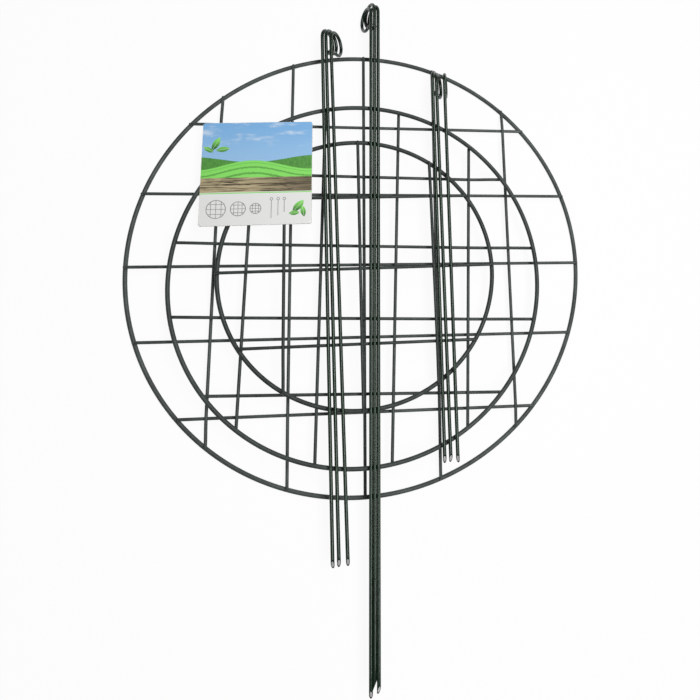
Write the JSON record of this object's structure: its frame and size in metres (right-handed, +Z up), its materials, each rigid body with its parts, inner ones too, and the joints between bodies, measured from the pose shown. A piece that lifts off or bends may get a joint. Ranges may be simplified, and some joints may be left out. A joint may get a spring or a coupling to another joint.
{
  "type": "plant support frame",
  "caption": "Round green wire grid hoops in falling sizes with eyed ground legs and a label card, laid flat as a stacked set for staking garden plants.",
  "frame": {"origin": "on the ground, under the middle of the laid-out set's bounding box", "axes": "+X to the right of the set, +Y towards the legs' eyes, +Z up from the ground"},
  "size_m": [0.5, 0.7394, 0.0351],
  "materials": {
    "coated_wire": "satin dark green plastic coating on steel wire",
    "green_coat": "satin dark green plastic coating",
    "bare_steel": "cut steel wire",
    "printed_card": "printed and varnished card"
  },
  "bodies": {
    "large_hoop": {"large_column_wire_1": "coated_wire", "large_column_wire_2": "coated_wire", "large_column_wire_3": "coated_wire", "large_column_wire_4": "coated_wire", "large_column_wire_5": "coated_wire", "large_rim": "coated_wire", "large_row_wire_1": "coated_wire", "large_row_wire_2": "coated_wire", "large_row_wire_3": "coated_wire", "large_row_wire_4": "coated_wire", "large_row_wire_5": "coated_wire"},
    "medium_hoop": {"medium_column_wire_1": "coated_wire", "medium_column_wire_2": "coated_wire", "medium_column_wire_3": "coated_wire", "medium_column_wire_4": "coated_wire", "medium_rim": "coated_wire", "medium_row_wire_1": "coated_wire", "medium_row_wire_2": "coated_wire", "medium_row_wire_3": "coated_wire", "medium_row_wire_4": "coated_wire"},
    "small_hoop": {"small_column_wire_1": "coated_wire", "small_column_wire_2": "coated_wire", "small_column_wire_3": "coated_wire", "small_rim": "coated_wire", "small_row_wire_1": "coated_wire", "small_row_wire_2": "coated_wire", "small_row_wire_3": "coated_wire"},
    "long_leg_1": {"long_leg_1_coat": "green_coat", "long_leg_1_eye_coat": "green_coat", "long_leg_1_core": "bare_steel"},
    "long_leg_2": {"long_leg_2_coat": "green_coat", "long_leg_2_eye_coat": "green_coat", "long_leg_2_core": "bare_steel"},
    "long_leg_3": {"long_leg_3_coat": "green_coat", "long_leg_3_eye_coat": "green_coat", "long_leg_3_core": "bare_steel"},
    "medium_leg_1": {"medium_leg_1_coat": "green_coat", "medium_leg_1_eye_coat": "green_coat", "medium_leg_1_core": "bare_steel"},
    "medium_leg_2": {"medium_leg_2_coat": "green_coat", "medium_leg_2_eye_coat": "green_coat", "medium_leg_2_core": "bare_steel"},
    "medium_leg_3": {"medium_leg_3_coat": "green_coat", "medium_leg_3_eye_coat": "green_coat", "medium_leg_3_core": "bare_steel"},
    "short_leg_1": {"short_leg_1_coat": "green_coat", "short_leg_1_eye_coat": "green_coat", "short_leg_1_core": "bare_steel"},
    "short_leg_2": {"short_leg_2_coat": "green_coat", "short_leg_2_eye_coat": "green_coat", "short_leg_2_core": "bare_steel"},
    "short_leg_3": {"short_leg_3_coat": "green_coat", "short_leg_3_eye_coat": "green_coat", "short_leg_3_core": "bare_steel"},
    "card": {"label_card": "printed_card"}
  },
  "joints": [
    {"name": "medium_hoop_lift", "type": "slide", "parent": "large_hoop", "child": "medium_hoop", "axis": [0, 0, 1], "range_m": [0, 0.12]},
    {"name": "small_hoop_lift", "type": "slide", "parent": "medium_hoop", "child": "small_hoop", "axis": [0, 0, 1], "range_m": [0, 0.12]},
    {"name": "card_lift", "type": "slide", "parent": "small_hoop", "child": "card", "axis": [0, 0, 1], "range_m": [0, 0.15]},
    {"name": "long_leg_3_lift", "type": "slide", "parent": "small_hoop", "child": "long_leg_3", "axis": [0, 0, 1], "range_m": [0, 0.15]},
    {"name": "long_leg_2_lift", "type": "slide", "parent": "long_leg_3", "child": "long_leg_2", "axis": [0, 0, 1], "range_m": [0, 0.15]},
    {"name": "long_leg_1_lift", "type": "slide", "parent": "long_leg_2", "child": "long_leg_1", "axis": [0, 0, 1], "range_m": [0, 0.15]},
    {"name": "medium_leg_1_lift", "type": "slide", "parent": "small_hoop", "child": "medium_leg_1", "axis": [0, 0, 1], "range_m": [0, 0.15]},
    {"name": "medium_leg_2_lift", "type": "slide", "parent": "medium_leg_1", "child": "medium_leg_2", "axis": [0, 0, 1], "range_m": [0, 0.15]},
    {"name": "medium_leg_3_lift", "type": "slide", "parent": "medium_leg_2", "child": "medium_leg_3", "axis": [0, 0, 1], "range_m": [0, 0.15]},
    {"name": "short_leg_1_lift", "type": "slide", "parent": "small_hoop", "child": "short_leg_1", "axis": [0, 0, 1], "range_m": [0, 0.15]},
    {"name": "short_leg_2_lift", "type": "slide", "parent": "short_leg_1", "child": "short_leg_2", "axis": [0, 0, 1], "range_m": [0, 0.15]},
    {"name": "short_leg_3_lift", "type": "slide", "parent": "short_leg_2", "child": "short_leg_3", "axis": [0, 0, 1], "range_m": [0, 0.15]}
  ]
}
